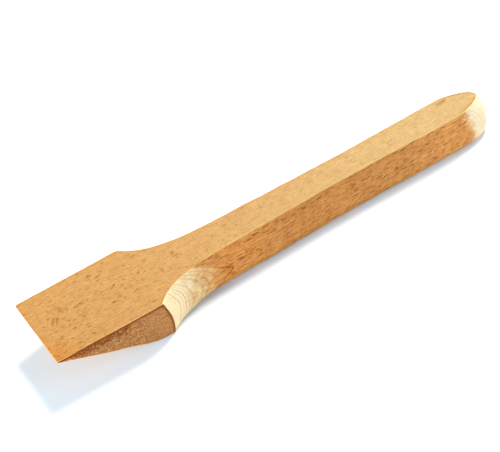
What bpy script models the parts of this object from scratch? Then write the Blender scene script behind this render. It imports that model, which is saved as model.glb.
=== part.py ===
"""A clay modelling tool cut from one stick of beech.

A wedge-shaped blade with a straight edge runs through two coves into a slightly waisted
handle that ends in a domed nose. The broad upper face is flat from the edge to the nose.
The sides of the coves, the handle and the nose share one moulded profile, which flares
outwards below the upper face and rolls in at the underside. The sides of the blade are
the flat sides of the stick itself.

Units are metres. +X runs along the tool from the blade's edge to the nose, +Y is across it
and +Z is up. The origin is under the middle of the tool, on its flat underside.
"""
import math

import bmesh
import bpy

# ---- Driving dimensions -------------------------------------------------------------

LENGTH = 0.300               # blade's edge to the nose's furthest point
THICKNESS = 0.0275           # flat upper face to flat underside

EDGE_WIDTH = 0.0416          # blade at its edge
SHOULDER_WIDTH = 0.0430      # blade at its shoulders
BLADE_LENGTH = 0.0585        # edge to shoulders
EDGE_THICKNESS = 0.0008      # the blade's edge is left slightly blunt
WEDGE_ANGLE = math.radians(26.0)     # between the upper face and the blade's underside
HEEL_RADIUS = 0.035          # blends the wedge into the flat underside

COVE_RADIUS = 0.0365         # tight part of the cove, at the shoulder
NECK_RADIUS = 0.140          # slow part of the cove, towards the handle
NECK_ANGLE = math.radians(12.7)      # outline's slope where the two arcs meet

HANDLE_END_WIDTH = 0.0178    # upper face where the handle starts and where it ends
HANDLE_WAIST_WIDTH = 0.0160  # upper face half-way along the handle
NOSE_LENGTH = 0.0237         # rounded end of the upper face
NOSE_EXPONENT = 1.55         # superellipse exponent of that end, 2 would be an ellipse

SIDE_FLARE = 0.0037          # how far the moulded sides stand out beyond the upper face
NOSE_FLARE = 0.0097          # the same at the tip of the nose
FLARE_DEPTH = 0.022          # depth below the upper face where the flare is greatest
FLARE_EXPONENT = 1.6         # shape of the flare, 2 would be a parabola
ROLL_RADIUS = 0.0048         # rolled lower edge of the handle
ROLL_RADIUS_AT_BLADE = 0.0003
ROLL_ANGLE = math.radians(65.0)      # the roll meets the underside before it lies flat
ROLL_START = 0.006           # distance past the shoulders where the roll begins to grow
ROLL_GROWTH = 0.025          # distance over which it grows to its full radius

SPARE = 0.006                # how far the two crossing solids overrun each other
SPARE_BELOW = 0.0008         # the same below the underside

SPARE_STEPS = 3
COVE_STEPS = 12
NECK_STEPS = 8
HANDLE_STEPS = 10
NOSE_STEPS = 18
FLARE_STEPS = 8
ROLL_STEPS = 5
HEEL_STEPS = 8

BEECH_COLOUR = (0.67, 0.40, 0.17, 1.0)
BEECH_ROUGHNESS = 0.55

# ---- Places that follow from them ---------------------------------------------------

EDGE_X = -LENGTH / 2
SHOULDER_X = EDGE_X + BLADE_LENGTH
NOSE_X = LENGTH / 2 - NOSE_FLARE - NOSE_LENGTH     # where the rounded end begins


class OutlinePoint:
    """A point of the upper face's outline on the +Y half, with its outward normal."""

    def __init__(self, x, y, normal, nose=0.0):
        self.x = x
        self.y = y
        self.normal = normal
        self.nose = nose      # 0 along the sides, 1 at the tip of the nose


def smooth_step(value):
    value = min(max(value, 0.0), 1.0)
    return value * value * (3 - 2 * value)


def arc_points(centre, radius, start, end, steps):
    """Points of a concave arc whose slope runs from start to end, without its first point."""
    points = []
    for step in range(1, steps + 1):
        slope = start + (end - start) * step / steps
        normal = (math.sin(slope), math.cos(slope))
        points.append(OutlinePoint(centre[0] - radius * normal[0], centre[1] - radius * normal[1], normal))
    return points


def cove_points():
    """The cove in two arcs, from outside the stick's side to the start of the handle.

    The second arc runs out along the handle, so the slope at the shoulder follows from the
    widths. The first arc goes on past the shoulder until it is clear of the stick's side.
    """
    neck_drop = NECK_RADIUS * (1 - math.cos(NECK_ANGLE))
    cove_drop = (SHOULDER_WIDTH - HANDLE_END_WIDTH) / 2 - neck_drop
    shoulder_angle = math.acos(math.cos(NECK_ANGLE) - cove_drop / COVE_RADIUS)
    outer_angle = math.acos(math.cos(shoulder_angle) - SPARE / COVE_RADIUS)

    cove_centre = (SHOULDER_X + COVE_RADIUS * math.sin(shoulder_angle),
                   SHOULDER_WIDTH / 2 + COVE_RADIUS * math.cos(shoulder_angle))
    apart = NECK_RADIUS - COVE_RADIUS
    neck_centre = (cove_centre[0] + apart * math.sin(NECK_ANGLE),
                   cove_centre[1] + apart * math.cos(NECK_ANGLE))

    points = arc_points(cove_centre, COVE_RADIUS, outer_angle, shoulder_angle, SPARE_STEPS)
    points += arc_points(cove_centre, COVE_RADIUS, shoulder_angle, NECK_ANGLE, COVE_STEPS)
    points += arc_points(neck_centre, NECK_RADIUS, NECK_ANGLE, 0.0, NECK_STEPS)
    return points


def handle_points(start_x):
    """The handle's side, one slow wave that is narrowest half-way and level at both ends."""
    swell = (HANDLE_END_WIDTH - HANDLE_WAIST_WIDTH) / 4
    span = NOSE_X - start_x
    points = []
    for step in range(1, HANDLE_STEPS + 1):
        turn = 2 * math.pi * step / HANDLE_STEPS
        half_width = HANDLE_WAIST_WIDTH / 2 + swell * (1 + math.cos(turn))
        slope = math.atan(swell * math.sin(turn) * 2 * math.pi / span)
        points.append(OutlinePoint(start_x + span * step / HANDLE_STEPS, half_width,
                                   (math.sin(slope), math.cos(slope))))
    return points


def nose_points():
    """A quarter of a superellipse, from the end of the handle to the tip of the nose."""
    half_width = HANDLE_END_WIDTH / 2
    power = 2 / NOSE_EXPONENT
    points = []
    for step in range(1, NOSE_STEPS + 1):
        turn = math.pi / 2 * step / NOSE_STEPS
        along, across = math.sin(turn), math.cos(turn)
        normal = (along ** (2 - power) / NOSE_LENGTH, across ** (2 - power) / half_width)
        size = math.hypot(*normal)
        points.append(OutlinePoint(NOSE_X + NOSE_LENGTH * along ** power, half_width * across ** power,
                                   (normal[0] / size, normal[1] / size), along))
    return points


def half_outline():
    """The upper face's outline from outside the shoulder to the tip of the nose, y >= 0."""
    points = cove_points()
    points += handle_points(points[-1].x)
    return points + nose_points()


def side_profile(point):
    """(depth, outward offset) pairs from the upper face to just below the underside."""
    flare = SIDE_FLARE + (NOSE_FLARE - SIDE_FLARE) * point.nose ** 2
    growth = smooth_step((point.x - SHOULDER_X - ROLL_START) / ROLL_GROWTH)
    roll = ROLL_RADIUS_AT_BLADE + (ROLL_RADIUS - ROLL_RADIUS_AT_BLADE) * growth
    roll_depth = THICKNESS - roll * math.sin(ROLL_ANGLE)

    levels = []
    for step in range(FLARE_STEPS + 1):
        depth = FLARE_DEPTH * step / FLARE_STEPS
        levels.append((depth, flare * (1 - (1 - depth / FLARE_DEPTH) ** FLARE_EXPONENT)))
    for step in range(ROLL_STEPS + 1):
        turn = ROLL_ANGLE * step / ROLL_STEPS
        levels.append((roll_depth + roll * math.sin(turn), flare - roll * (1 - math.cos(turn))))
    # The last level carries on below the underside, in line with the roll.
    inset = roll * (1 - math.cos(ROLL_ANGLE)) + SPARE_BELOW * math.tan(ROLL_ANGLE)
    levels.append((THICKNESS + SPARE_BELOW, flare - inset))
    return levels


def moulded_solid(name):
    """The outline with its moulded sides, wider than the stick around the blade."""
    half = half_outline()
    profiles = [side_profile(point) for point in half]
    mesh = bmesh.new()
    rings = []
    for level in range(len(profiles[0])):
        side = []
        for point, profile in zip(half, profiles):
            depth, offset = profile[level]
            side.append((point.x + offset * point.normal[0], point.y + offset * point.normal[1],
                         THICKNESS - depth))
        side.insert(0, (EDGE_X - SPARE, side[0][1], side[0][2]))
        # The tip of the nose is on the middle line, so the other side leaves it out.
        other_side = [(x, -y, z) for x, y, z in side[:-1]]
        rings.append([mesh.verts.new(place) for place in side + other_side[::-1]])

    count = len(rings[0])
    for above, under in zip(rings, rings[1:]):
        for index in range(count):
            following = (index + 1) % count
            mesh.faces.new((above[index], above[following], under[following], under[index]))
    mesh.faces.new(rings[0][::-1])
    mesh.faces.new(rings[-1])
    return finish_mesh(name, mesh)


def stick_section():
    """Side view of the stick as (x, z) points: blunt edge, wedge, heel and flat underside."""
    top = THICKNESS + SPARE
    far = LENGTH / 2 + SPARE
    wedge_rise = THICKNESS - EDGE_THICKNESS
    heel_x = EDGE_X + wedge_rise / math.tan(WEDGE_ANGLE)          # where wedge and underside cross
    heel_end = heel_x + HEEL_RADIUS * math.tan(WEDGE_ANGLE / 2)
    section = [(EDGE_X, top), (EDGE_X, wedge_rise)]
    for step in range(HEEL_STEPS + 1):
        turn = WEDGE_ANGLE * (1 - step / HEEL_STEPS)
        section.append((heel_end - HEEL_RADIUS * math.sin(turn), HEEL_RADIUS * (1 - math.cos(turn))))
    section += [(far, 0.0), (far, top)]
    return section


def stick_half_width(x):
    """The stick's sides spread a little from the edge to the shoulders and on in a line."""
    spread = (SHOULDER_WIDTH - EDGE_WIDTH) / 2 / BLADE_LENGTH
    return EDGE_WIDTH / 2 + spread * (x - EDGE_X)


def stick_solid(name):
    """The stick with its wedge sawn, used to trim the moulded solid."""
    mesh = bmesh.new()
    section = stick_section()
    sides = []
    for side in (1, -1):
        sides.append([mesh.verts.new((x, side * stick_half_width(x), z)) for x, z in section])
    count = len(section)
    for index in range(count):
        following = (index + 1) % count
        mesh.faces.new((sides[0][index], sides[0][following], sides[1][following], sides[1][index]))
    mesh.faces.new(sides[0][::-1])
    mesh.faces.new(sides[1])
    return finish_mesh(name, mesh)


def finish_mesh(name, mesh):
    bmesh.ops.recalc_face_normals(mesh, faces=mesh.faces)
    data = bpy.data.meshes.new(name)
    mesh.to_mesh(data)
    mesh.free()
    piece = bpy.data.objects.new(name, data)
    bpy.context.collection.objects.link(piece)
    return piece


def beech_material():
    material = bpy.data.materials.new("beech")
    material.use_nodes = True
    shader = material.node_tree.nodes["Principled BSDF"]
    shader.inputs["Base Color"].default_value = BEECH_COLOUR
    shader.inputs["Roughness"].default_value = BEECH_ROUGHNESS
    shader.inputs["Metallic"].default_value = 0.0
    return material


def clear_scene():
    for item in list(bpy.data.objects):
        bpy.data.objects.remove(item, do_unlink=True)


def main():
    clear_scene()
    stick = stick_solid("stick_trim")
    stick.hide_render = True
    stick.display_type = 'WIRE'

    body = moulded_solid("beech_body")
    trim = body.modifiers.new("trim_to_stick", 'BOOLEAN')
    trim.operation = 'INTERSECT'
    trim.solver = 'EXACT'
    trim.object = stick
    body.data.materials.append(beech_material())
    body.data.shade_smooth()
    body.data.set_sharp_from_angle(angle=math.radians(25.0))


main()
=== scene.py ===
"""Looks of the beech clay modelling tool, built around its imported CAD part.

One fine mesh stands for the CAD body: the same wedge blade, coves, waisted handle and domed
nose, with eased edges, hand-sanded unevenness and rough-sawn blade sides. Its beech is one
solid texture in the wood's own coordinates: growth rings around a pith line, ray flecks,
fibres and pale end grain.

Units are metres, +X from the blade's edge to the nose, +Z up, the floor at z = 0.
"""
import math

import bmesh
import bpy
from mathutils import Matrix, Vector, noise


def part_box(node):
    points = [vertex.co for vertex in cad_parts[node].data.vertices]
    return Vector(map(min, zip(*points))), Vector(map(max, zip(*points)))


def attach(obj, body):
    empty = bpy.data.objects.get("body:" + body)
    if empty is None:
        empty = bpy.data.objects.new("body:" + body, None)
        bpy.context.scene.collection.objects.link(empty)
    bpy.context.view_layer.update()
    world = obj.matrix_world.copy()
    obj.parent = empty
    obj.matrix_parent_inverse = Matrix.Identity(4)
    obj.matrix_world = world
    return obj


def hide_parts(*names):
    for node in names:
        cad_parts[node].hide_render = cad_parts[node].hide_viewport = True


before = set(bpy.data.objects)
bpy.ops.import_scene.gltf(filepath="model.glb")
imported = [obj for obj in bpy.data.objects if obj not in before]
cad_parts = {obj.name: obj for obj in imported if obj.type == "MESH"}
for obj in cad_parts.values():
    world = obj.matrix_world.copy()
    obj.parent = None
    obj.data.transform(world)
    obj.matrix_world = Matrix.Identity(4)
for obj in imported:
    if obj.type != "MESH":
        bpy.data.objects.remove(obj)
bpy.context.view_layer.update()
body_low, body_high = (Vector(corner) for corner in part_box("beech_body"))

# ---- The tool's shape, as in the CAD ------------------------------------------------

EDGE_X = body_low.x                      # the blade's edge
NOSE_TIP_X = body_high.x
THICKNESS = body_high.z - body_low.z

EDGE_WIDTH = 0.0416                      # blade at its edge
SHOULDER_WIDTH = 0.0430                  # blade at its shoulders
BLADE_LENGTH = 0.0585
EDGE_THICKNESS = 0.0008
WEDGE_ANGLE = math.radians(26.0)
HEEL_RADIUS = 0.035

COVE_RADIUS = 0.0365
NECK_RADIUS = 0.140
NECK_ANGLE = math.radians(12.7)

HANDLE_END_WIDTH = 0.0178
HANDLE_WAIST_WIDTH = 0.0160
NOSE_LENGTH = 0.0237
NOSE_EXPONENT = 1.55

SIDE_FLARE = 0.0037
NOSE_FLARE = 0.0097
FLARE_DEPTH = 0.022
FLARE_EXPONENT = 1.6
ROLL_RADIUS = 0.0048
ROLL_RADIUS_AT_BLADE = 0.0003
ROLL_ANGLE = math.radians(65.0)
ROLL_START = 0.006
ROLL_GROWTH = 0.025

# ---- What the fine mesh adds --------------------------------------------------------

TOP_EASE = 0.00035                       # sandpaper's easing of the upper face's edge
UNDER_EASE = 0.00045
EASE_SWING = 0.6                         # how much the easing varies along an edge
EASE_RATE = 90                           # swings of that for each metre
TOP_SEED, UNDER_SEED, SIDE_SEED = 1.5, 4.5, 7.3
APEX_EASE = 0.0016                       # added around the apex of the upper face
APEX_LENGTH = 0.0035
EASE_SHARE = 0.3                         # of the local thickness at most, at the thin edge
LEAST_HALF = 0.12                        # of the outline's half width that an eased edge leaves
TIP_BLUNTNESS = 0.3                      # how fast the inset outline falls back from its tip
NEAR_SHOULDER = 0.0005                   # easing of the upright edge at each shoulder
FAR_SHOULDER = 0.0022
NEAR_CORNER = 0.0007                     # worn corners of the blade's edge
FAR_CORNER = 0.0008

RIM_WIDTH = 0.0020                       # darker rim of the upper face
NOSE_LINE_START = 0.004                  # past NOSE_X, where the rim's near side is dark too
NOSE_LINE_FADE = 3.0
BORDER_WIDTH = 0.0016                    # darker border of the sawn sides
BORDER_STRETCH = 1.5                     # how much wider it is along the top
BORDER_CORE = 1.6                        # how far the border stays dark before it fades

# Hand sanding: how far it moves level and upright surfaces, and its swings for each metre.
SLOW_SANDING = (0.00004, 0.00030, (70, 110, 110), 0.0)
QUICK_SANDING = (0.00001, 0.00008, (260, 420, 420), 5.0)
SAW_TEAR = 0.00006
SAW_RATES = (1500, 500, 900)
REST_HEIGHT = 0.001                      # below it the sanding fades out: the underside is flat
THIN_LENGTH = 0.014                      # near the thin edge the sanding hardly moves it
THIN_SHARE = 0.06

FRONT_STEPS = 26                         # cross-wise steps in half of the blade's width
CORNER_STEPS = 5
BLADE_STEP = 0.0005                      # spacing of the columns along each stretch
COVE_STEP = 0.0006
HANDLE_STEP = 0.0008
NOSE_STEPS = 40
EASE_STEPS = 4
SIDE_STEPS = 30
EDGE_CROWDING = 0.45                     # how much closer the side's points lie near its edges
ROLL_CROWDING = 0.5
LEAST_ROW = 0.0018                       # a shorter row is left out of the faces' grid
BOTTOM_ROUNDS = 12                       # enough for a column's bottom to settle
SHOULDER_ROUNDS = 4

# Stains of use on the upper face: distance from the blade's edge, place across,
# half length, half width, turn from the grain in degrees, and how dark.
UPPER_MARKS = (
    (0.0088, 0.0034, 0.0021, 0.00045, 54, 0.45),
    (0.0101, 0.0010, 0.0024, 0.00050, 54, 0.60),
    (0.0117, -0.0002, 0.0021, 0.00045, 54, 0.45),
    (0.0250, 0.0027, 0.0022, 0.00055, 20, 0.45),
    (0.0304, 0.0033, 0.0009, 0.00070, 0, 0.50),
    (0.0192, 0.0033, 0.0009, 0.00060, 0, 0.40),
    (0.0239, -0.0048, 0.0012, 0.00055, 10, 0.65),
    (0.0168, -0.0084, 0.0009, 0.00070, 0, 0.60),
    (0.0125, -0.0045, 0.0008, 0.00060, 0, 0.50),
    (0.0158, -0.0054, 0.0011, 0.00050, 54, 0.50),
    (0.0415, 0.0123, 0.0019, 0.00060, 8, 0.60),
    (0.0456, 0.0029, 0.0012, 0.00085, 30, 0.75),
    (0.0488, 0.0006, 0.0010, 0.00070, 30, 0.55),
    (0.0400, -0.0061, 0.0013, 0.00070, 0, 0.75),
    (0.0527, -0.0062, 0.0023, 0.00045, 5, 0.55),
    (0.0593, 0.0024, 0.0012, 0.00060, 50, 0.50),
    (0.0802, 0.0032, 0.0012, 0.00090, 40, 0.60),
    (0.2678, 0.0055, 0.0046, 0.00150, 10, 0.50),
    (0.2702, 0.0058, 0.0016, 0.00075, 10, 0.90),
)
CHIP = (0.2477, 0.0133, 0.0007)          # distance from the edge, height and radius, near side

# ---- Places that follow from them ---------------------------------------------------

SHOULDER_X = EDGE_X + BLADE_LENGTH
NOSE_X = NOSE_TIP_X - NOSE_FLARE - NOSE_LENGTH
APEX_X = NOSE_X + NOSE_LENGTH - APEX_LENGTH
HEEL_X = EDGE_X + (THICKNESS - EDGE_THICKNESS) / math.tan(WEDGE_ANGLE)
HEEL_END = HEEL_X + HEEL_RADIUS * math.tan(WEDGE_ANGLE / 2)

NECK_DROP = NECK_RADIUS * (1 - math.cos(NECK_ANGLE))
COVE_DROP = (SHOULDER_WIDTH - HANDLE_END_WIDTH) / 2 - NECK_DROP
SHOULDER_ANGLE = math.acos(math.cos(NECK_ANGLE) - COVE_DROP / COVE_RADIUS)
COVE_CENTRE = (SHOULDER_X + COVE_RADIUS * math.sin(SHOULDER_ANGLE),
               SHOULDER_WIDTH / 2 + COVE_RADIUS * math.cos(SHOULDER_ANGLE))
NECK_CENTRE = (COVE_CENTRE[0] + (NECK_RADIUS - COVE_RADIUS) * math.sin(NECK_ANGLE),
               COVE_CENTRE[1] + (NECK_RADIUS - COVE_RADIUS) * math.cos(NECK_ANGLE))
HANDLE_X = NECK_CENTRE[0]                # where the cove's outline levels out


def smooth_step(value):
    value = min(max(value, 0.0), 1.0)
    return value * value * (3 - 2 * value)


def under_height(x):
    """Height of the underside over the floor: wedge, heel and flat."""
    if x >= HEEL_END:
        return 0.0
    if x > HEEL_END - HEEL_RADIUS * math.sin(WEDGE_ANGLE):
        return HEEL_RADIUS - math.sqrt(HEEL_RADIUS ** 2 - (HEEL_END - x) ** 2)
    return THICKNESS - EDGE_THICKNESS - (x - EDGE_X) * math.tan(WEDGE_ANGLE)


def stick_half_width(x):
    spread = (SHOULDER_WIDTH - EDGE_WIDTH) / 2 / BLADE_LENGTH
    return EDGE_WIDTH / 2 + spread * (x - EDGE_X)


def moulding(depth, x, nose):
    """How far the moulded side stands out beyond the upper face at a depth below it."""
    flare = SIDE_FLARE + (NOSE_FLARE - SIDE_FLARE) * nose ** 2
    growth = smooth_step((x - SHOULDER_X - ROLL_START) / ROLL_GROWTH)
    roll = ROLL_RADIUS_AT_BLADE + (ROLL_RADIUS - ROLL_RADIUS_AT_BLADE) * growth
    roll_depth = THICKNESS - roll * math.sin(ROLL_ANGLE)
    if depth < FLARE_DEPTH:
        return flare * (1 - (1 - depth / FLARE_DEPTH) ** FLARE_EXPONENT)
    if depth < roll_depth:
        return flare
    rolled = min((depth - roll_depth) / roll, math.sin(ROLL_ANGLE))
    return flare - roll * (1 - math.sqrt(1 - rolled ** 2))


# ---- Upright columns around half of the outline -------------------------------------
# Each column is a function of depth that returns a place (x, y) and an outward normal.

def front_column(share):
    def column(depth):
        return Vector((EDGE_X, share * EDGE_WIDTH / 2)), Vector((-1.0, 0.0))
    return column


def shoulder_angle_at(depth):
    """The cove's slope where its moulded side meets the blade's flat side."""
    angle = SHOULDER_ANGLE
    radius = COVE_RADIUS - moulding(depth, SHOULDER_X, 0.0)
    for _ in range(SHOULDER_ROUNDS):
        x = COVE_CENTRE[0] - radius * math.sin(angle)
        angle = math.acos((COVE_CENTRE[1] - stick_half_width(x)) / radius)
    return angle


def cove_place(angle, depth):
    radius = COVE_RADIUS - moulding(depth, SHOULDER_X, 0.0)
    normal = Vector((math.sin(angle), math.cos(angle)))
    return Vector(COVE_CENTRE) - radius * normal, normal


def blade_place(from_edge, depth):
    x = EDGE_X + from_edge
    return Vector((x, stick_half_width(x))), Vector((0.0, 1.0))


def rounded(before, corner, after, share):
    """A point and normal on the easing curve of an upright corner."""
    place = (1 - share) ** 2 * before[0] + 2 * share * (1 - share) * corner + share ** 2 * after[0]
    normal = ((1 - share) * before[1] + share * after[1]).normalized()
    return place, normal


def corner_column(ease, share):
    """The blade's corner between its edge and its side."""
    def column(depth):
        corner = Vector((EDGE_X, EDGE_WIDTH / 2))
        before = (corner - Vector((0.0, ease)), Vector((-1.0, 0.0)))
        return rounded(before, corner, blade_place(ease, depth), share)
    return column


def blade_column(corner_ease, shoulder_ease, share):
    def column(depth):
        shoulder = cove_place(shoulder_angle_at(depth), depth)[0]
        end = shoulder.x - EDGE_X - shoulder_ease
        return blade_place(corner_ease + (end - corner_ease) * share, depth)
    return column


def shoulder_column(ease, share):
    def column(depth):
        angle = shoulder_angle_at(depth)
        shoulder = cove_place(angle, depth)[0]
        before = blade_place(shoulder.x - EDGE_X - ease, depth)
        after = cove_place(angle - ease / COVE_RADIUS, depth)
        return rounded(before, shoulder, after, share)
    return column


def cove_column(shoulder_ease, share):
    def column(depth):
        start = shoulder_angle_at(depth) - shoulder_ease / COVE_RADIUS
        angle = start + (NECK_ANGLE - start) * share
        place, normal = cove_place(angle, depth)
        radius = COVE_RADIUS - moulding(depth, place.x, 0.0)
        return Vector(COVE_CENTRE) - radius * normal, normal
    return column


def moulded_column(base, normal, nose=0.0):
    def column(depth):
        return base + moulding(depth, base.x, nose) * normal, normal
    return column


def neck_column(share):
    angle = NECK_ANGLE * (1 - share)
    normal = Vector((math.sin(angle), math.cos(angle)))
    return moulded_column(Vector(NECK_CENTRE) - NECK_RADIUS * normal, normal)


def handle_column(share):
    swell = (HANDLE_END_WIDTH - HANDLE_WAIST_WIDTH) / 4
    span = NOSE_X - HANDLE_X
    turn = 2 * math.pi * share
    slope = math.atan(swell * math.sin(turn) * 2 * math.pi / span)
    base = Vector((HANDLE_X + span * share, HANDLE_WAIST_WIDTH / 2 + swell * (1 + math.cos(turn))))
    return moulded_column(base, Vector((math.sin(slope), math.cos(slope))))


def nose_column(share):
    along, across = math.sin(math.pi / 2 * share), math.cos(math.pi / 2 * share)
    half_width = HANDLE_END_WIDTH / 2
    power = 2 / NOSE_EXPONENT
    base = Vector((NOSE_X + NOSE_LENGTH * along ** power, half_width * across ** power))
    normal = Vector((along ** (2 - power) / NOSE_LENGTH, across ** (2 - power) / half_width))
    return moulded_column(base, normal.normalized(), along)


def half_columns(corner_ease, shoulder_ease):
    """(column, kind) pairs from the middle of the blade's edge to the tip of the nose."""
    columns = []
    front_share = 1 - corner_ease / (EDGE_WIDTH / 2)
    for step in range(FRONT_STEPS + 1):
        spread = math.sin(math.pi / 2 * step / FRONT_STEPS)
        columns.append((front_column(front_share * spread), "front"))
    for step in range(1, CORNER_STEPS):
        columns.append((corner_column(corner_ease, step / CORNER_STEPS), "corner"))
    steps = round(BLADE_LENGTH / BLADE_STEP)
    for step in range(steps + 1):
        columns.append((blade_column(corner_ease, shoulder_ease, step / steps), "blade"))
    for step in range(1, CORNER_STEPS):
        columns.append((shoulder_column(shoulder_ease, step / CORNER_STEPS), "shoulder"))
    steps = round((SHOULDER_ANGLE - NECK_ANGLE) * COVE_RADIUS / COVE_STEP)
    for step in range(steps):
        columns.append((cove_column(shoulder_ease, step / steps), "cove"))
    steps = round(NECK_ANGLE * NECK_RADIUS / COVE_STEP)
    for step in range(steps):
        columns.append((neck_column(step / steps), "cove"))
    steps = round((NOSE_X - HANDLE_X) / HANDLE_STEP)
    for step in range(steps):
        columns.append((handle_column(step / steps), "handle"))
    for step in range(NOSE_STEPS + 1):
        columns.append((nose_column(step / NOSE_STEPS), "nose"))
    return columns


def curve_through(start, corner, end, share):
    return (1 - share) ** 2 * start + 2 * share * (1 - share) * corner + share ** 2 * end


def unevenness(x, side, seed):
    """Slow random swing of the easing along one edge of the tool."""
    return EASE_SWING * noise.noise(Vector((x * EASE_RATE, side * SIDE_SEED, seed)))


def column_points(column, side):
    """(place, role) pairs down one column. The role is 1 on an eased edge and 0 on a side."""
    bottom = THICKNESS / 2
    for _ in range(BOTTOM_ROUNDS):
        bottom = THICKNESS - under_height(column(bottom)[0].x)
    middle_x = column(0.0)[0].x
    apex = smooth_step((middle_x - APEX_X) / APEX_LENGTH)
    top_ease = TOP_EASE * (1 + (1 - apex) * unevenness(middle_x, side, TOP_SEED)) + APEX_EASE * apex
    top_ease = min(top_ease, EASE_SHARE * bottom)
    under_ease = UNDER_EASE * (1 + unevenness(middle_x, side, UNDER_SEED))
    under_ease = min(under_ease, EASE_SHARE * bottom)

    def at(depth, inset=0.0):
        outline, normal = column(depth)
        place = outline - inset * normal
        # Around the nose's tip the inset must not cross the tool's middle or pass its own tip.
        furthest_x = NOSE_X + NOSE_LENGTH + moulding(depth, NOSE_X, 1.0) - inset
        x = min(place.x, furthest_x - TIP_BLUNTNESS * outline.y) if inset else place.x
        return Vector((x, max(place.y, LEAST_HALF * outline.y), THICKNESS - depth))

    points = []
    for step in range(EASE_STEPS):
        share = step / EASE_STEPS
        points.append((curve_through(at(0, top_ease), at(0), at(top_ease), share), 1.0))
    for step in range(SIDE_STEPS + 1):
        share = step / SIDE_STEPS
        # Closer together near the two edges, and closest over the roll.
        spread = (1 - EDGE_CROWDING) * share + EDGE_CROWDING * math.sin(math.pi / 2 * share)
        spread = (1 - ROLL_CROWDING) * spread + ROLL_CROWDING * smooth_step(share)
        depth = top_ease + (bottom - under_ease - top_ease) * spread
        points.append((at(depth), 1.0 if step in (0, SIDE_STEPS) else 0.0))
    inner = at(bottom, under_ease)
    inner.z = under_height(inner.x)
    for step in range(1, EASE_STEPS + 1):
        share = step / EASE_STEPS
        points.append((curve_through(at(bottom - under_ease), at(bottom), inner, share), 1.0))
    return points


def add_cap(mesh, near_loop, far_loop, first, height):
    """Quads over one face, in rows that join the same column on the two sides.

    The loops run from the blade's middle to the nose, whose last vertex they share. Their
    first vertices up to `first` are the row along the blade's edge. One many-sided face
    fills what is left at the nose's tip.
    """
    row = near_loop[first:0:-1] + far_loop[:first + 1]
    rows = [row]
    width = row[-1].co.y - row[0].co.y
    shares = [(vertex.co.y - row[0].co.y) / width for vertex in row]
    end = first + 1
    while end < len(near_loop) - 1 and far_loop[end].co.y - near_loop[end].co.y > LEAST_ROW:
        end += 1
    for near, far in zip(near_loop[first + 1:end], far_loop[first + 1:end]):
        new_row = [near]
        for share in shares[1:-1]:
            place = near.co.lerp(far.co, share)
            place.z = height(place.x)
            new_row.append(mesh.verts.new(place))
        new_row.append(far)
        for index in range(len(row) - 1):
            mesh.faces.new((row[index], row[index + 1], new_row[index + 1], new_row[index]))
        row = new_row
        rows.append(row)
    mesh.faces.new(row + far_loop[end:-1] + near_loop[:end - 1:-1])
    return rows + list(zip(near_loop[end:-1], far_loop[end:-1]))


def border_of_side(place, shoulder_x):
    """How dark a sawn side's border is at a place: along its top and along its shoulder."""
    from_border = min((THICKNESS - place.z) / BORDER_STRETCH, shoulder_x - place.x)
    return smooth_step(BORDER_CORE * (1 - from_border / BORDER_WIDTH))


def add_half(mesh, side, corner_ease, shoulder_ease, other_half=None):
    """The columns of vertices around one side, and their kinds.

    The first and the last column are the other half's, where that is given.
    """
    layers = mesh.verts.layers.float
    columns = half_columns(corner_ease, shoulder_ease)
    grid = []
    for index, (column, kind) in enumerate(columns):
        if other_half and index in (0, len(columns) - 1):
            grid.append(other_half[index])
            continue
        vertices = []
        for place, role in column_points(column, side):
            vertex = mesh.verts.new((place.x, side * place.y, place.z))
            vertex[layers["eased"]] = role
            vertex[layers["sawn"]] = 1.0 if kind == "blade" and role == 0 else 0.0
            if kind == "blade":
                depth = THICKNESS - place.z
                shoulder = cove_place(shoulder_angle_at(depth), depth)[0]
                vertex[layers["border"]] = border_of_side(place, shoulder.x)
            elif kind == "shoulder":
                vertex[layers["border"]] = 1.0
            vertices.append(vertex)
        grid.append(vertices)
    return grid, [kind for _, kind in columns]


def tint_the_rim(mesh, rows):
    """Writes how near the upper face's vertices are to its dark rim.

    The rim runs along the blade's edge, the far outline and the near side of the nose.
    """
    rim = mesh.verts.layers.float["rim"]
    for row in rows:
        for vertex in row:
            before_nose = max(0.0, NOSE_X + NOSE_LINE_START - vertex.co.x)
            from_nose = vertex.co.y - row[0].co.y + NOSE_LINE_FADE * before_nose
            inset = min(vertex.co.x - EDGE_X, row[-1].co.y - vertex.co.y, from_nose)
            vertex[rim] = smooth_step(1 - inset / RIM_WIDTH)


def swing(place, rates, start=0.0):
    """Random swing around 0, with its own rate for each metre along X, Y and Z."""
    return noise.noise(Vector([start + part * rate for part, rate in zip(place, rates)]))


def sand_by_hand(mesh):
    """Moves each vertex a little along its normal, most on the hand-worked sides."""
    mesh.normal_update()
    sawn = mesh.verts.layers.float["sawn"]
    moves = []
    for vertex in mesh.verts:
        place, normal = vertex.co, vertex.normal
        upright = 1 - normal.z ** 2
        amount = SAW_TEAR * swing(place, SAW_RATES) * vertex[sawn]
        for on_level, on_upright, rates, start in (SLOW_SANDING, QUICK_SANDING):
            amount += (on_level + on_upright * upright) * swing(place, rates, start)
        amount *= THIN_SHARE + (1 - THIN_SHARE) * smooth_step((place.x - EDGE_X) / THIN_LENGTH)
        moves.append(amount * smooth_step(place.z / REST_HEIGHT) * normal)
    for vertex, move in zip(mesh.verts, moves):
        vertex.co += move


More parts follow.
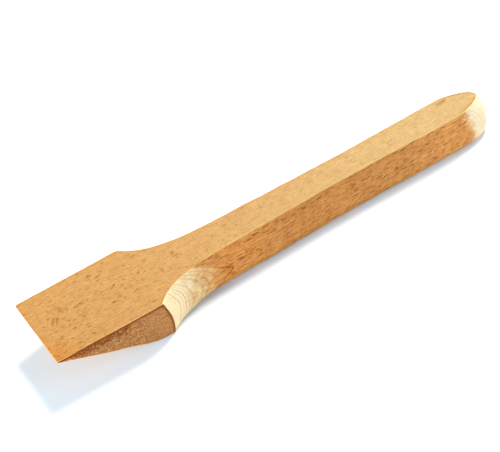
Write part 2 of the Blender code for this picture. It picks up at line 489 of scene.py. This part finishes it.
def tool_piece():
    mesh = bmesh.new()
    for name in ("eased", "sawn", "border", "rim"):
        mesh.verts.layers.float.new(name)
    near, kinds = add_half(mesh, -1, NEAR_CORNER, NEAR_SHOULDER)
    far, _ = add_half(mesh, 1, FAR_CORNER, FAR_SHOULDER, near)
    for grid in (near, far):
        for left, right in zip(grid, grid[1:]):
            for level in range(len(left) - 1):
                corners = (left[level], right[level], right[level + 1], left[level + 1])
                mesh.faces.new(corners)
    first = kinds.index("corner") - 1
    tops = [[column[0] for column in grid] for grid in (near, far)]
    unders = [[column[-1] for column in grid] for grid in (near, far)]
    rows = add_cap(mesh, *tops, first, height=lambda x: THICKNESS)
    tint_the_rim(mesh, rows)
    add_cap(mesh, *unders, first, height=under_height)
    bmesh.ops.recalc_face_normals(mesh, faces=mesh.faces)
    sand_by_hand(mesh)

    data = bpy.data.meshes.new("beech_tool")
    mesh.to_mesh(data)
    mesh.free()
    data.shade_smooth()
    piece = bpy.data.objects.new("beech_tool", data)
    bpy.context.collection.objects.link(piece)
    return piece


# ---- Beech: colours -----------------------------------------------------------------

def colour(red, green, blue):
    return (red, green, blue, 1.0)


# Linear colours of the wood as each cut shows it. A pair is for the blade's end of the tool
# and for its nose.
# The upper face is lighter at the nose: partly painted light, partly the wood's own tone.
UPPER_TONE_AND_NOSE_LIGHT = (colour(0.394, 0.193, 0.054), colour(0.420, 0.266, 0.104))   # upper face
SIDE_BEECH = (colour(0.580, 0.224, 0.046), colour(0.575, 0.238, 0.055))   # plain-sawn sides
HALF_TURNED_AND_HIGHLIGHT = colour(0.78, 0.44, 0.165)                                  # half way to end grain, partly painted highlight
PALE_END_AND_HIGHLIGHT = (colour(0.96, 0.74, 0.43), colour(0.89, 0.685, 0.425))        # end grain, partly painted highlight
ARRIS_HIGHLIGHT_COLOUR = colour(0.64, 0.41, 0.15)        # painted highlight along the near arrises, where they catch the light
CHIP_BEECH = colour(0.72, 0.52, 0.34)

# What the colour below is multiplied by.
LATE_WOOD = colour(0.72, 0.50, 0.30)         # the dark edge of a ring
DARK_RING = colour(0.66, 0.46, 0.26)         # the ring around the near cove's end grain
FLECK = colour(0.44, 0.22, 0.04)             # a ray fleck
STAIN = colour(0.62, 0.33, 0.11)
RIM = colour(1.02, 0.83, 0.52)               # the deeper-coloured rim of the upper face
NOSE_LINE = colour(0.84, 0.70, 0.48)         # the darker line in that rim around the nose
ROLL_BOUNCE_SHADE = colour(0.97, 0.99, 0.80)            # painted floor bounce and shade on the rolled lower edge

SAWN_BEECH = colour(0.285, 0.070, 0.004)     # rough-sawn blade sides, near their top
SAWN_WORN = colour(0.45, 0.184, 0.052)       # and lower down
SAWN_LIP = colour(0.53, 0.180, 0.027)        # along the underside
SAWN_DUST = colour(0.85, 0.55, 0.29)
SCORCH = colour(0.12, 0.030, 0.004)
SAWN_BORDER = colour(0.235, 0.054, 0.002)

# ---- Beech: sizes, in millimetres ---------------------------------------------------

MM = 1000.0

PITH = (-90.0, 18.0)                         # the pith's y and z at PITH_X
PITH_TILT = (-0.06, 0.05)                    # how they change along X
PITH_X = -80.0
RING_SPACING = 0.95
RING_UNEVENNESS = (0.4, 3.0, 2.0)            # swings per millimetre, seed and size
YEAR_RATE = 5.7                              # how unlike two years are
LATE_START = (0.50, 0.92)                    # shares of a year over which the late wood darkens
LATE_END = (1.0, 0.94)                       # and over which it ends
YEAR_FADE = (-0.25, 0.3)
PALEST_YEAR = 0.25
SAPWOOD_RADIUS = 80.30                       # the dark ring: the near cove is pale inside it
SAPWOOD_FADE = 0.3
PALE_SHARE_OUTSIDE = 0.3
DARK_RING_FADE = (0.08, 0.02)                # from the middle of the ring

# Noise: swings per millimetre along X, Y and Z, then detail and roughness.
MOTTLE = ((0.22, 0.45, 0.45), 3.0, 0.6)
FIBRES = ((0.22, 1.1, 1.1), 3.0, 0.6)
PORES = ((0.9, 2.6, 2.6), 2.0, 0.65)
STREAKS = ((0.10, 0.9, 0.9), 2.0, 0.55)
RING_WARP = ((0.02, 0.09, 0.09), 2.0, 0.5)
RING_FINE_WARP = ((0.10, 0.7, 0.7), 2.0, 0.5)
WARP_SIZE, FINE_WARP_SIZE = 0.2, 0.14

# The same for the sides alone: seed, swings per millimetre along X and Z, detail, roughness.
CROWDING = (31.0, (0.07, 0.22), 2.0, 0.5)    # where the sides' flecks crowd together
TORN = (5.0, (0.28, 0.5), 3.0, 0.6)          # the sawn sides' torn fibres
GRIT = (9.0, (0.95, 1.5), 2.0, 0.7)
ZONES = (17.0, (0.07, 0.13), 1.0, 0.5)       # their lighter and darker zones

# Ray flecks: the cell that holds one, its half size (both along X, around the pith and
# away from it) and a seed.
FACE_FLECKS = ((3.6, 1.0, 1.0), (1.25, 0.30, 0.34), 0.0)
FACE_SPECKS = ((1.9, 0.8, 0.8), (0.50, 0.26, 0.30), 70.0)
SIDE_FLECKS = ((6.0, 1.1, 1.6), (2.4, 0.33, 0.9), 40.0)
SIDE_DASHES = ((3.0, 0.8, 1.2), (1.2, 0.24, 0.6), 90.0)
FLECK_EDGE = (1.0, 0.55)                     # squared distance over which one fades in
FLECK_CHANCE = (0.2, 0.7)
FAINTEST_FLECK = 0.25
STRENGTHS = {"flecks": 0.62, "specks": 0.36, "side flecks": 1.25, "side dashes": 0.9}
CROWD_FADE = (-0.15, 0.15, 0.65, 1.15)       # of the noise, and the strengths that it gives
FACE_MARKS_FADE = (-60.0, 20.0, 1.0, 0.5)    # along X, and the strengths there

# Fades: the value where something is absent, then the value where it is full, and then the
# two amounts where those aren't 0 and 1. Places are along X unless the name says otherwise.
FAR_SIDE_Y, NEAR_SIDE_Y = (-2.0, 2.0), (2.0, -2.0)
SIDEWAYS_NORMAL = (0.35, 0.75)               # the normal's Y on the sides
BELOW_FACE_NORMAL = (0.93, 0.80)             # the normal's Z off the upper face
UPRIGHT_NORMAL = (0.75, 0.35, 0.0, 0.96)     # and on the sawn sides' border
COVE = (-30.0, -45.0)
DARK_RING_PLACE = (-35.0, -42.0)
# The cove pales as its normal turns to +X and to the light: partly a painted highlight.
TURNED_NORMAL = (-0.05, 0.32)                # the normal's X where the cove turns to end grain
TURN_RAGGED = 0.03
PALE_NOSE = (-4.0, 6.5)                      # past the line x + PALE_NOSE_SLOPE z = PALE_NOSE_X
PALE_NOSE_X, PALE_NOSE_SLOPE = 133.4, 0.42
PALE_NOSE_RAGGED = 5.0
TURNED_SHARE = (0.0, 0.55)                   # shares of end grain, for HALF_TURNED_AND_HIGHLIGHT
END_SHARE = (0.42, 1.0)                      # and for PALE_END_AND_HIGHLIGHT
COVE_TO_NOSE = (0.0, 20.0)
SIDE_MIDDLE = 35.0
SIDE_ENDS = (40.0, 75.0, 1.0, 1.16)          # from SIDE_MIDDLE, where the sides are lighter
ROLL_Z = (7.5, 5.5)
ROLL_RAGGED = 6.0
RIM_STRENGTH, RIM_MOTTLE = 0.65, 1.6
RIM_PLACE = (-90.0, -20.0, 1.0, 0.55)
NEAR_CORNER_LINE = (-150.0, -163.0)          # x + y
NEAR_CORNER_RAGGED = 9.0
NOSE_LINE_CORE = (0.25, 0.9)
NOSE_LINE_PLACE = (112.0, 126.0)
NEAR_EDGE_Y = (-9.0, -16.0, 0.25, 0.9)       # where the upper face shows the rings
RINGS_PLACE = (90.0, 120.0, 0.85, 0.35)
RINGS_ON_END_GRAIN = (0.0, 0.1, 0.55, 1.0)

# How much each noise shades the wood, how that grows from the face to the sides, what is
# left of it on end grain, and how red, green and blue follow it.
MOTTLE_SHADE, FIBRE_SHADE, PORE_SHADE, STREAK_SHADE = 0.42, 0.36, 0.60, 0.6
FACE_SHADE, SIDE_SHADE = 1.1, 1.35
END_GRAIN_SHADE = 0.35
SHADE_OF_CHANNELS = (0.8, 1.15, 1.5)

STAIN_DEPTH = 1.0                            # half height of a stain, which follows the grain
STAIN_WOBBLE = (2.4, 1.8)                    # with the pores along X, with the fibres along Y
STAIN_GRAIN = 1.2
SPOT_EDGE = (1.3, 0.4)
CHIP_HEIGHT = 1.4                            # times its length
# How strong the near arrises' painted highlight is, and how far the nose's arris darkens.
ARRIS_HIGHLIGHT_SHARE, NOSE_ARRIS = 0.45, 0.3

SAWN_TOP = (4.0, 8.5)                        # depth over which SAWN_BEECH gives way
SAWN_TOP_RAGGED = 9.0
SAWN_WORN_PLACE = (-116.0, -102.0)
SAWN_PLACE_RAGGED = 20.0
ZONE_FADE = (0.02, 0.16, 0.0, 0.45)
LIP_FADE = (2.6, 1.0)                        # height over the underside
LIP_RAGGED = 3.0
ROUGH_PLACE = (-112.0, -92.0, 1.0, 0.45)
ROUGH_RAGGED = 30.0
TORN_SHADE = 1.3
PIT_GRIT, PIT_STRENGTH = (-0.03, -0.13), 0.9
DUST_GRIT, DUST_STRENGTH, DUST_TORN = (0.07, 0.16), 0.68, 0.25

SPECULAR = 0.10
ROUGHNESS, FIBRE_ROUGHNESS, END_GRAIN_ROUGHNESS, SAWN_ROUGHNESS = 0.56, 0.12, 0.12, 0.25
BUMP_STRENGTH, BUMP_DISTANCE = 0.8, 0.0001
FIBRE_RELIEF, PORE_RELIEF, FLECK_RELIEF, STAIN_RELIEF, GRIT_RELIEF = 0.6, 1.1, -1.4, -2.0, 4.0

# Blender's Mix node has sockets for values and for colours, which share their names.
MIX_FACTOR, MIX_VALUE_A, MIX_VALUE_B, MIX_COLOUR_A, MIX_COLOUR_B = 0, 2, 3, 6, 7
MIXED_COLOUR = 2


class Graph:
    """Short names for the node arithmetic that a solid wood texture needs."""

    def __init__(self, name):
        self.material = bpy.data.materials.new(name)
        self.material.use_nodes = True
        self.tree = self.material.node_tree
        self.shader = self.tree.nodes["Principled BSDF"]

    def put(self, socket, value):
        if isinstance(value, bpy.types.NodeSocket):
            self.tree.links.new(value, socket)
        else:
            socket.default_value = value

    def node(self, kind, *values, operation=None):
        """A new node of a shader kind, with values or sockets put in its first inputs."""
        node = self.tree.nodes.new("ShaderNode" + kind)
        if operation:
            node.operation = operation
        for socket, value in zip(node.inputs, values):
            self.put(socket, value)
        return node

    def math(self, operation, *values):
        return self.node("Math", *values, operation=operation).outputs[0]

    def add(self, a, b):
        return self.math('ADD', a, b)

    def sub(self, a, b):
        return self.math('SUBTRACT', a, b)

    def mul(self, a, b):
        return self.math('MULTIPLY', a, b)

    def plus(self, base, value, weight):
        """base + value * weight"""
        return self.math('MULTIPLY_ADD', value, weight, base)

    def ramp(self, value, low, high, start=0.0, end=1.0):
        """A smooth step from start, at low, to end, at high."""
        node = self.node("MapRange", value, low, high, start, end)
        node.interpolation_type = 'SMOOTHSTEP'
        return node.outputs[0]

    def vector(self, x, y, z):
        return self.node("CombineXYZ", x, y, z).outputs[0]

    def split(self, vector):
        return self.node("SeparateXYZ", vector).outputs

    def noise(self, vector, detail=2.0, roughness=0.5):
        """Noise around 0, from about -0.5 to 0.5, one swing for each unit of the vector."""
        node = self.tree.nodes.new("ShaderNodeTexNoise")
        self.put(node.inputs["Vector"], vector)
        node.inputs["Scale"].default_value = 1.0
        node.inputs["Detail"].default_value = detail
        node.inputs["Roughness"].default_value = roughness
        return self.sub(node.outputs[0], 0.5)

    def cells(self, vector):
        """Nearest random point of each place, as (its position, its random colour)."""
        node = self.tree.nodes.new("ShaderNodeTexVoronoi")
        self.put(node.inputs["Vector"], vector)
        node.inputs["Scale"].default_value = 1.0
        return node.outputs["Position"], node.outputs["Color"]

    def spot(self, place, centre, half, turn=0.0):
        """1 in the middle of a small ellipsoid, 0 outside it."""
        mapping = self.node("Mapping", place)
        mapping.vector_type = 'TEXTURE'
        mapping.inputs["Location"].default_value = centre
        mapping.inputs["Rotation"].default_value = (0.0, 0.0, math.radians(turn))
        mapping.inputs["Scale"].default_value = half
        length = self.node("VectorMath", mapping.outputs[0], operation='LENGTH')
        return self.ramp(length.outputs["Value"], *SPOT_EDGE)

    def mix(self, factor, a, b, blend='MIX'):
        node = self.tree.nodes.new("ShaderNodeMix")
        node.data_type = 'RGBA'
        node.blend_type = blend
        self.put(node.inputs[MIX_FACTOR], factor)
        self.put(node.inputs[MIX_COLOUR_A], a)
        self.put(node.inputs[MIX_COLOUR_B], b)
        return node.outputs[MIXED_COLOUR]

    def mix_value(self, factor, a, b):
        node = self.tree.nodes.new("ShaderNodeMix")
        self.put(node.inputs[MIX_FACTOR], factor)
        self.put(node.inputs[MIX_VALUE_A], a)
        self.put(node.inputs[MIX_VALUE_B], b)
        return node.outputs[0]

    def tinted(self, base, amount, tint):
        """The base colour, multiplied by a tint where the amount is 1."""
        return self.mix(amount, base, self.mix(1.0, base, tint, 'MULTIPLY'))

    def shaded(self, base, *channels):
        """The base colour, with red, green and blue multiplied by numbers of their own."""
        return self.mix(1.0, base, self.vector(*channels), 'MULTIPLY')

    def attribute(self, name):
        node = self.tree.nodes.new("ShaderNodeAttribute")
        node.attribute_name = name
        return node.outputs["Fac"]


class Beech(Graph):
    """One stick of beech, as a texture in the wood's own millimetres."""

    def __init__(self):
        super().__init__("beech")
        self.sawn, self.border, self.eased, self.rim = (
            self.attribute(name) for name in ("sawn", "border", "eased", "rim"))
        self.find_place()
        self.mottle, self.fibre, self.pore = (
            self.wood_noise(*settings) for settings in (MOTTLE, FIBRES, PORES))
        self.find_rings()
        self.find_cuts()

    def find_place(self):
        """The place, its radius from the pith and its arc around it, and the normal."""
        coordinates = self.tree.nodes.new("ShaderNodeTexCoord")
        scale = self.node("VectorMath", coordinates.outputs["Object"], operation='SCALE')
        scale.inputs["Scale"].default_value = MM
        self.place = scale.outputs[0]
        self.x, self.y, self.z = self.split(self.place)
        self.normal_x, self.normal_y, self.normal_z = self.split(coordinates.outputs["Normal"])
        along = self.sub(self.x, PITH_X)
        from_pith_y = self.sub(self.y, self.plus(PITH[0], along, PITH_TILT[0]))
        from_pith_z = self.sub(self.z, self.plus(PITH[1], along, PITH_TILT[1]))
        squares = self.add(self.mul(from_pith_y, from_pith_y), self.mul(from_pith_z, from_pith_z))
        self.radius = self.math('SQRT', squares)
        self.arc = self.mul(self.math('ARCTAN2', from_pith_z, from_pith_y), -PITH[0])

    def wood_noise(self, rates, detail, roughness):
        parts = (self.mul(part, rate) for part, rate in zip((self.x, self.y, self.z), rates))
        return self.noise(self.vector(*parts), detail, roughness)

    def side_noise(self, seed, rates, detail, roughness):
        vector = self.vector(self.mul(self.x, rates[0]), seed, self.mul(self.z, rates[1]))
        return self.noise(vector, detail, roughness)

    def find_rings(self):
        """The radius along the bent rings, and the darkness of the late wood from 0 to 1.

        Each year darkens slowly towards a sharp outer edge.
        """
        warp = self.mul(self.wood_noise(*RING_WARP), WARP_SIZE)
        fine_warp = self.mul(self.wood_noise(*RING_FINE_WARP), FINE_WARP_SIZE)
        self.bent = self.add(self.radius, self.add(warp, fine_warp))
        rate, seed, size = RING_UNEVENNESS
        uneven = self.noise(self.vector(self.mul(self.bent, rate), seed, 0.0), 0.0)
        count = self.math('DIVIDE', self.add(self.bent, self.mul(uneven, size)), RING_SPACING)
        phase = self.math('FRACT', count)
        year = self.math('FLOOR', count)
        late = self.mul(self.ramp(phase, *LATE_START), self.ramp(phase, *LATE_END))
        weather = self.noise(self.vector(self.mul(year, YEAR_RATE), 0.0, 0.0), 0.0)
        self.ring = self.mul(late, self.ramp(weather, *YEAR_FADE, PALEST_YEAR, 1.0))

    def find_cuts(self):
        """Where the surface is end grain, plain-sawn side or upper and under face.

        Pale end grain, partly a painted highlight, shows where the surface turns across the log.
        """
        turned = self.plus(self.normal_x, self.fibre, TURN_RAGGED)
        fade_end = SAPWOOD_RADIUS + SAPWOOD_FADE
        sapwood = self.ramp(self.bent, fade_end, SAPWOOD_RADIUS, PALE_SHARE_OUTSIDE, 1.0)
        sapwood = self.math('MAXIMUM', sapwood, self.ramp(self.y, *FAR_SIDE_Y))
        at_cove = self.mul(self.ramp(self.x, *COVE), sapwood)
        past_line = self.sub(self.plus(self.x, self.z, PALE_NOSE_SLOPE), PALE_NOSE_X)
        past_line = self.plus(past_line, self.mottle, PALE_NOSE_RAGGED)
        past_line = self.plus(past_line, self.fibre, PALE_NOSE_RAGGED)
        below_face = self.ramp(self.normal_z, *BELOW_FACE_NORMAL)
        self.at_nose = self.mul(self.ramp(past_line, *PALE_NOSE), below_face)
        self.end_grain = self.add(self.mul(at_cove, self.ramp(turned, *TURNED_NORMAL)), self.at_nose)
        self.long_grain = self.sub(1.0, self.end_grain)
        self.plain_sawn = self.ramp(self.math('ABSOLUTE', self.normal_y), *SIDEWAYS_NORMAL)
        self.on_face = self.sub(1.0, self.plain_sawn)
        self.near_side = self.ramp(self.y, *NEAR_SIDE_Y)

    def cut_colour(self):
        """Each cut's colour before its grain; nose end, end grain and roll carry painted light."""
        along = self.ramp(self.x, EDGE_X * MM, NOSE_TIP_X * MM)
        side = self.mix(along, *SIDE_BEECH)
        from_middle = self.math('ABSOLUTE', self.sub(self.x, SIDE_MIDDLE))
        side = self.shaded(side, *[self.ramp(from_middle, *SIDE_ENDS)] * 3)
        # The upper face lightens towards the nose: partly painted light, partly the wood's tone.
        base = self.mix(self.plain_sawn, self.mix(along, *UPPER_TONE_AND_NOSE_LIGHT), side)
        # The rolled lower edge faces the floor: painted floor bounce and shade tint it.
        roll = self.ramp(self.plus(self.z, self.mottle, ROLL_RAGGED), *ROLL_Z)
        base = self.tinted(base, self.mul(roll, self.plain_sawn), ROLL_BOUNCE_SHADE)
        base = self.with_dark_rim(base)
        # Pale end grain: partly a painted highlight, where the surface turns to the light.
        base = self.mix(self.ramp(self.end_grain, *TURNED_SHARE), base, HALF_TURNED_AND_HIGHLIGHT)
        palest = self.mix(self.ramp(self.x, *COVE_TO_NOSE), *PALE_END_AND_HIGHLIGHT)
        return self.mix(self.ramp(self.end_grain, *END_SHARE), base, palest)

    def with_dark_rim(self, base):
        """The upper face is darker along its rim, at its near corner and around the nose."""
        rim = self.mul(self.rim, self.plus(RIM_STRENGTH, self.mottle, RIM_MOTTLE))
        rim = self.mul(rim, self.ramp(self.x, *RIM_PLACE))
        corner = self.plus(self.add(self.x, self.y), self.mottle, NEAR_CORNER_RAGGED)
        rim = self.math('MAXIMUM', rim, self.ramp(corner, *NEAR_CORNER_LINE))
        base = self.tinted(base, self.mul(rim, self.on_face), RIM)
        line = self.mul(self.ramp(self.rim, *NOSE_LINE_CORE), self.on_face)
        return self.tinted(base, self.mul(line, self.ramp(self.x, *NOSE_LINE_PLACE)), NOSE_LINE)

    def with_grain(self, base):
        """Fibres and pores run along the grain, and the sides have streaks."""
        shade = self.mul(self.pore, PORE_SHADE)
        shade = self.plus(shade, self.fibre, FIBRE_SHADE)
        shade = self.plus(shade, self.mottle, MOTTLE_SHADE)
        streaks = self.mul(self.plain_sawn, STREAK_SHADE)
        shade = self.plus(shade, self.wood_noise(*STREAKS), streaks)
        shade = self.mul(shade, self.mix_value(self.plain_sawn, FACE_SHADE, SIDE_SHADE))
        shade = self.mul(shade, self.ramp(self.end_grain, 0.0, 1.0, 1.0, END_GRAIN_SHADE))
        return self.shaded(base, *(self.plus(1.0, shade, weight) for weight in SHADE_OF_CHANNELS))

    def with_rings(self, base):
        """Late wood, and the dark ring around the near cove's end grain."""
        on_face = self.ramp(self.y, *NEAR_EDGE_Y)
        on_cut = self.mul(self.ramp(self.x, *RINGS_PLACE), self.ramp(self.end_grain, *RINGS_ON_END_GRAIN))
        cut = self.math('MAXIMUM', self.end_grain, self.plain_sawn)
        base = self.tinted(base, self.mul(self.ring, self.mix_value(cut, on_face, on_cut)), LATE_WOOD)
        from_dark_ring = self.math('ABSOLUTE', self.sub(self.bent, SAPWOOD_RADIUS))
        dark = self.mul(self.ramp(from_dark_ring, *DARK_RING_FADE), self.ramp(self.x, *DARK_RING_PLACE))
        dark = self.mul(self.mul(dark, self.near_side), self.plain_sawn)
        return self.tinted(base, dark, DARK_RING)

    def flecks(self, cell, half, seed):
        """Spindles along the grain, one in each cell, as a strength from 0 to 1."""
        places = (self.x, self.arc, self.radius)
        along, around, away = (self.math('DIVIDE', part, size) for part, size in zip(places, cell))
        vector = self.vector(self.add(along, seed), around, away)
        position, random = self.cells(vector)
        offset = self.node("VectorMath", vector, position, operation='SUBTRACT')
        total = 0.0
        for part, cell_size, half_size in zip(self.split(offset.outputs[0]), cell, half):
            scaled = self.mul(part, cell_size / half_size)
            total = self.add(self.mul(scaled, scaled), total)
        chance, weight, _ = self.split(random)
        weight = self.ramp(weight, 0.0, 1.0, FAINTEST_FLECK, 1.0)
        return self.mul(self.ramp(total, *FLECK_EDGE), self.mul(self.ramp(chance, *FLECK_CHANCE), weight))

    def all_flecks(self):
        """The ray flecks of the faces and of the sides, where the grain runs along."""
        on_face = self.mul(self.flecks(*FACE_FLECKS), STRENGTHS["flecks"])
        on_face = self.plus(on_face, self.flecks(*FACE_SPECKS), STRENGTHS["specks"])
        on_face = self.mul(on_face, self.ramp(self.x, *FACE_MARKS_FADE))
        on_side = self.mul(self.flecks(*SIDE_FLECKS), STRENGTHS["side flecks"])
        on_side = self.plus(on_side, self.flecks(*SIDE_DASHES), STRENGTHS["side dashes"])
        on_side = self.mul(on_side, self.ramp(self.side_noise(*CROWDING), *CROWD_FADE))
        return self.mul(self.mix_value(self.plain_sawn, on_face, on_side), self.long_grain)

    def upper_stains(self):
        """Marks of use on the upper face, whose outlines follow the fibres and pores."""
        wobble_x = self.mul(self.pore, STAIN_WOBBLE[0])
        wobble_y = self.mul(self.fibre, STAIN_WOBBLE[1])
        wobble = self.vector(wobble_x, wobble_y, 0.0)
        place = self.node("VectorMath", self.place, wobble, operation='ADD').outputs[0]
        total = 0.0
        for from_edge, across, length, width, turn, strength in UPPER_MARKS:
            centre = ((EDGE_X + from_edge) * MM, across * MM, THICKNESS * MM)
            mark = self.spot(place, centre, (length * MM, width * MM, STAIN_DEPTH), turn)
            total = self.math('MAXIMUM', self.mul(mark, strength), total)
        return total

    def with_chip(self, base):
        """A small chip in the near side, a spot that reaches in from beyond it."""
        from_edge, height, radius = (value * MM for value in CHIP)
        width = HANDLE_END_WIDTH * MM
        centre = (EDGE_X * MM + from_edge, -width, height)
        chip = self.spot(self.place, centre, (radius, width / 2, CHIP_HEIGHT * radius))
        return self.mix(chip, base, CHIP_BEECH)

    def with_arris_highlight_and_nose_line(self, base):
        """Painted highlight on the near arrises; the arris around the nose is darker."""
        # The near arrises catch the light: a painted highlight.
        worn = self.mul(self.eased, self.mul(self.long_grain, self.near_side))
        base = self.mix(self.mul(worn, ARRIS_HIGHLIGHT_SHARE), base, ARRIS_HIGHLIGHT_COLOUR)
        return self.tinted(base, self.mul(self.mul(self.eased, self.at_nose), NOSE_ARRIS), RIM)

    def sawn_side(self, grit):
        """The blade's rough-sawn sides, whose torn fibres catch pale dust."""
        torn = self.side_noise(*TORN)
        depth = self.sub(THICKNESS * MM, self.z)
        low = self.ramp(self.plus(depth, torn, SAWN_TOP_RAGGED), *SAWN_TOP)
        worn = self.ramp(self.plus(self.x, torn, SAWN_PLACE_RAGGED), *SAWN_WORN_PLACE)
        base = self.mix(self.math('MAXIMUM', low, worn), SAWN_BEECH, SAWN_WORN)
        base = self.mix(self.ramp(self.side_noise(*ZONES), *ZONE_FADE), base, SAWN_WORN)
        slope = math.tan(WEDGE_ANGLE)
        under = (THICKNESS - EDGE_THICKNESS + EDGE_X * slope) * MM
        over_lip = self.sub(self.plus(self.z, self.x, slope), under)
        base = self.mix(self.ramp(self.plus(over_lip, torn, LIP_RAGGED), *LIP_FADE), base, SAWN_LIP)
        shade = self.plus(self.add(self.fibre, 1.0), torn, TORN_SHADE)
        base = self.shaded(base, shade, shade, shade)
        rough = self.ramp(self.plus(self.x, torn, ROUGH_RAGGED), *ROUGH_PLACE)
        pits = self.mul(self.mul(self.ramp(grit, *PIT_GRIT), rough), PIT_STRENGTH)
        base = self.mix(pits, base, SCORCH)
        dust = self.mul(self.ramp(self.plus(grit, torn, DUST_TORN), *DUST_GRIT), rough)
        return self.mix(self.mul(dust, DUST_STRENGTH), base, SAWN_DUST)

    def finished(self):
        """The material, with every layer in place."""
        base = self.with_rings(self.with_grain(self.cut_colour()))
        fleck = self.all_flecks()
        base = self.tinted(base, self.math('MINIMUM', fleck, 1.0), FLECK)
        stain = self.upper_stains()
        base = self.tinted(base, self.mul(stain, self.plus(1.0, self.pore, STAIN_GRAIN)), STAIN)
        base = self.with_arris_highlight_and_nose_line(self.with_chip(base))
        grit = self.side_noise(*GRIT)
        base = self.mix(self.sawn, base, self.sawn_side(grit))
        border = self.mul(self.border, self.ramp(self.normal_z, *UPRIGHT_NORMAL))
        self.put(self.shader.inputs["Base Color"], self.mix(border, base, SAWN_BORDER))

        self.shader.inputs["Specular IOR Level"].default_value = SPECULAR
        roughness = self.plus(ROUGHNESS, self.fibre, FIBRE_ROUGHNESS)
        roughness = self.plus(roughness, self.end_grain, END_GRAIN_ROUGHNESS)
        self.put(self.shader.inputs["Roughness"], self.plus(roughness, self.sawn, SAWN_ROUGHNESS))

        height = self.mul(self.fibre, FIBRE_RELIEF)
        for layer, relief in ((self.pore, PORE_RELIEF), (fleck, FLECK_RELIEF), (stain, STAIN_RELIEF),
                              (self.mul(grit, self.sawn), GRIT_RELIEF)):
            height = self.plus(height, layer, relief)
        bump = self.tree.nodes.new("ShaderNodeBump")
        bump.inputs["Strength"].default_value = BUMP_STRENGTH
        bump.inputs["Distance"].default_value = BUMP_DISTANCE
        self.put(bump.inputs["Height"], height)
        self.put(self.shader.inputs["Normal"], bump.outputs[0])
        return self.material


# ---- Studio -------------------------------------------------------------------------

FLOOR_SIZE = 6.0
FLOOR_HEIGHT = -0.0002                       # just clear of the tool's underside
FLOOR_COLOUR = colour(0.89, 0.905, 0.92)
FLOOR_ROUGHNESS = 0.9

# Name, place, target, size, power and tint of each soft light.
LIGHTS = (
    ("back_overhead", (0.40, 0.36, 1.05), (0.0, 0.0, 0.0), 0.46, 21.0, (1.0, 0.99, 0.975)),
    ("low_side", (0.85, -0.40, 0.36), (0.0, 0.0, 0.0), 0.5, 2.8, (0.90, 0.96, 1.0)),
    ("under_blade", (-1.0, -0.10, 0.30), (-0.12, 0.0, 0.0), 0.6, 15.5, (0.90, 0.95, 1.0)),
)
WORLD_COLOUR = colour(0.57, 0.81, 1.0)
WORLD_STRENGTH = 0.42

CAMERA_AZIMUTH = math.radians(-36.43)        # 0 looks along +Y
CAMERA_ELEVATION = math.radians(48.39)
CAMERA_DISTANCE = 0.5611
CAMERA_LENS = 78.0
CAMERA_SENSOR = 36.0
AIM = Vector((EDGE_X + 0.1228, -0.0056, THICKNESS))


def floor_piece():
    mesh = bmesh.new()
    half = FLOOR_SIZE / 2
    corners = ((-half, -half), (half, -half), (half, half), (-half, half))
    mesh.faces.new([mesh.verts.new((x, y, FLOOR_HEIGHT)) for x, y in corners])
    data = bpy.data.meshes.new("studio_floor")
    mesh.to_mesh(data)
    mesh.free()
    piece = bpy.data.objects.new("studio_floor", data)
    bpy.context.collection.objects.link(piece)
    material = bpy.data.materials.new("studio_floor")
    material.use_nodes = True
    shader = material.node_tree.nodes["Principled BSDF"]
    shader.inputs["Base Color"].default_value = FLOOR_COLOUR
    shader.inputs["Roughness"].default_value = FLOOR_ROUGHNESS
    data.materials.append(material)
    return piece


def soft_light(name, place, target, size, power, tint):
    light = bpy.data.lights.new(name, 'AREA')
    light.shape = 'DISK'
    light.size = size
    light.energy = power
    light.color = tint
    lamp = bpy.data.objects.new(name, light)
    lamp.location = place
    lamp.rotation_euler = (Vector(target) - Vector(place)).to_track_quat('-Z', 'Y').to_euler()
    lamp.visible_camera = False
    bpy.context.collection.objects.link(lamp)


def studio():
    floor_piece()
    for light in LIGHTS:
        soft_light(*light)
    world = bpy.data.worlds.new("studio")
    bpy.context.scene.world = world
    world.use_nodes = True
    background = world.node_tree.nodes["Background"]
    background.inputs["Color"].default_value = WORLD_COLOUR
    background.inputs["Strength"].default_value = WORLD_STRENGTH
    bpy.context.scene.view_settings.view_transform = 'Standard'


def camera():
    back = Vector((math.sin(CAMERA_AZIMUTH) * math.cos(CAMERA_ELEVATION),
                   -math.cos(CAMERA_AZIMUTH) * math.cos(CAMERA_ELEVATION),
                   math.sin(CAMERA_ELEVATION)))
    data = bpy.data.cameras.new("camera")
    data.lens = CAMERA_LENS
    data.sensor_width = CAMERA_SENSOR
    eye = bpy.data.objects.new("camera", data)
    eye.location = AIM + CAMERA_DISTANCE * back
    eye.rotation_euler = (-back).to_track_quat('-Z', 'Y').to_euler()
    bpy.context.collection.objects.link(eye)
    bpy.context.scene.camera = eye


camera()
studio()
tool = tool_piece()
tool.data.materials.append(Beech().finished())
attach(tool, "root")
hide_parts("beech_body")
